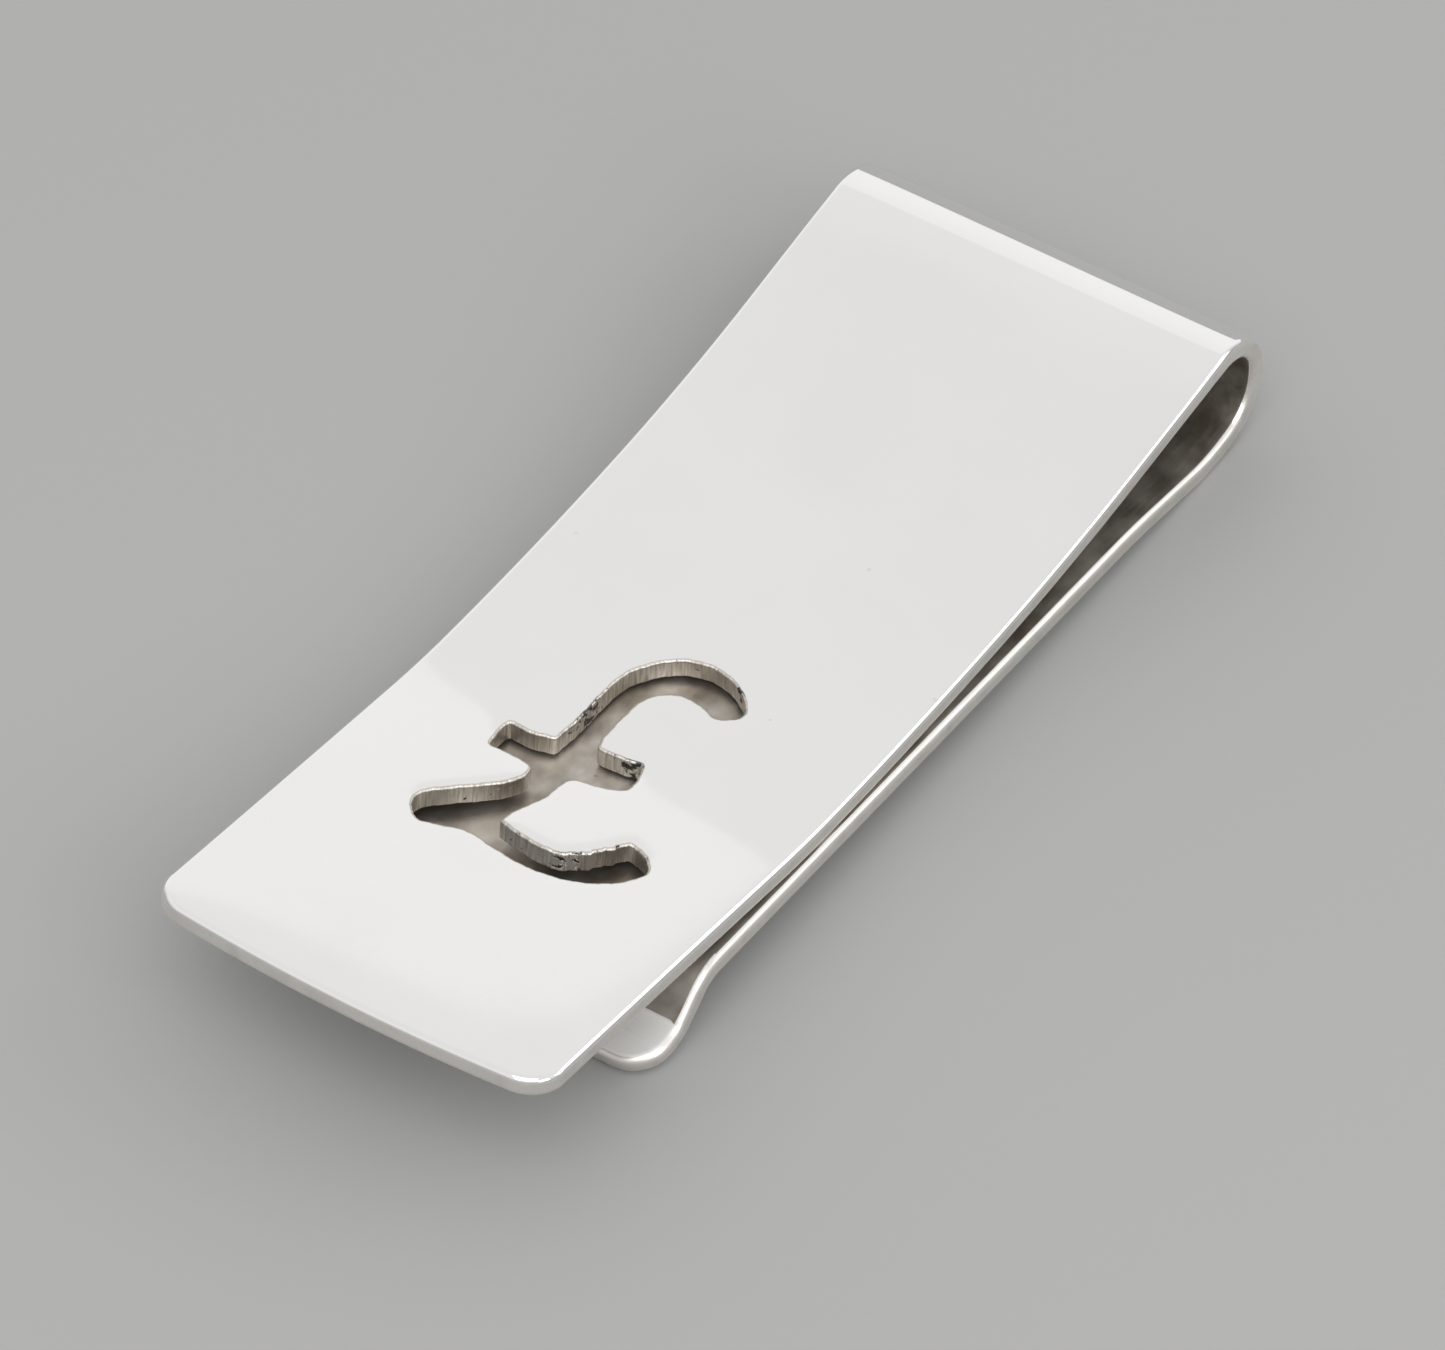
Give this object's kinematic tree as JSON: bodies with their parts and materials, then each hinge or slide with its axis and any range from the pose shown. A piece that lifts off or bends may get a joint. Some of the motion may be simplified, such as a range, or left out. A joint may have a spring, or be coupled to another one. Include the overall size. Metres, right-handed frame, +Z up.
{
  "type": "money clip",
  "caption": "Folded silver money clip: a pierced front leaf joined by a round spring bend to a back leaf with a flared tip.",
  "frame": {"origin": "middle of the clip's box, on the surface it lies on", "axes": "+X along the clip towards the bend, +Y across the strip, +Z up from the back leaf to the front leaf"},
  "size_m": [0.0564, 0.0204, 0.0068],
  "materials": {
    "polished_silver": "polished",
    "plain_silver": "lightly brushed",
    "satin_silver": "satin"
  },
  "bodies": {
    "back": {"back_leaf": "plain_silver", "flared_tip": "satin_silver", "spring_bend": "polished_silver"},
    "front": {"front_leaf": "polished_silver"}
  },
  "joints": [
    {"name": "leaf_spring", "type": "hinge", "parent": "back", "child": "front", "pos_m": [0.02506, 0, 0.0033], "axis": [0, 1, 0], "range_deg": [0, 6], "stiffness_Nm_per_rad": 3.5, "springref_deg": -0.06, "deforming": ["spring_bend"]}
  ]
}
